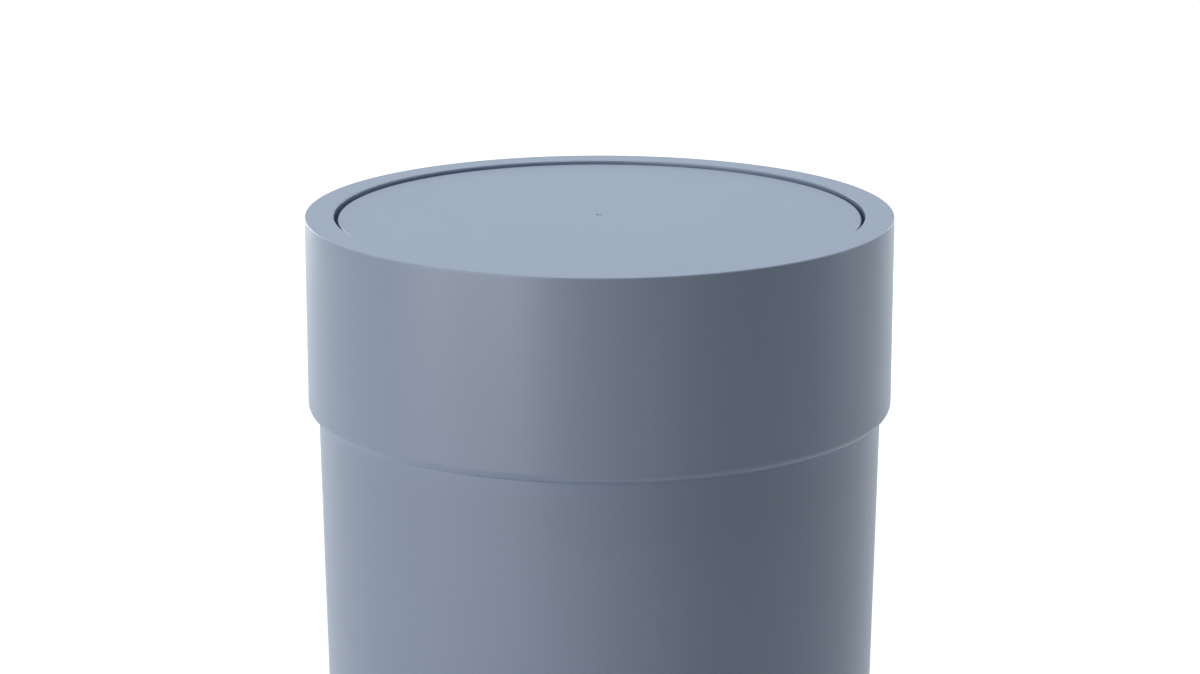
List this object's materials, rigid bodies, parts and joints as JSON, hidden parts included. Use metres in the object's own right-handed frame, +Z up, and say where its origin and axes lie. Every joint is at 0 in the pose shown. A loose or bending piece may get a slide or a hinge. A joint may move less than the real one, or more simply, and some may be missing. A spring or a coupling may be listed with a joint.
{
  "type": "swing-top waste bin",
  "caption": "Round tapered plastic bin with a lift-off lid collar and a flush disc that tips about a hidden middle axis when its edge is touched, closed again by a counterweight.",
  "frame": {"origin": "centre of the base, on the surface that the bin stands on", "axes": "+Z up through the collar, -Y towards the front, X along the disc's swing axis"},
  "size_m": [0.1968, 0.1968, 0.254],
  "materials": {
    "soft_touch_plastic": "fine soft-touch matt, blue-grey",
    "acetal": "smooth natural white",
    "steel": "bright drawn",
    "zinc_plate": "zinc plated",
    "rubber": "matt, dark grey"
  },
  "bodies": {
    "bin": {"bin_body": "soft_touch_plastic", "foot_pad_1": "rubber", "foot_pad_2": "rubber", "foot_pad_3": "rubber", "foot_pad_4": "rubber"},
    "lid": {"lid_collar": "soft_touch_plastic", "right_pivot_bush": "acetal", "left_pivot_bush": "acetal"},
    "flap": {"swing_disc": "soft_touch_plastic", "counterweight": "steel", "right_pivot_pin": "steel", "left_pivot_pin": "steel", "right_weight_screw": "zinc_plate", "left_weight_screw": "zinc_plate"}
  },
  "joints": [
    {"name": "lid_lift", "type": "slide", "parent": "bin", "child": "lid", "axis": [0, 0, 1], "range_m": [0, 0.1]},
    {"name": "flap_swing", "type": "hinge", "parent": "lid", "child": "flap", "pos_m": [0, 0, 0.2429], "axis": [1, 0, 0], "range_deg": [-78, 78]}
  ]
}
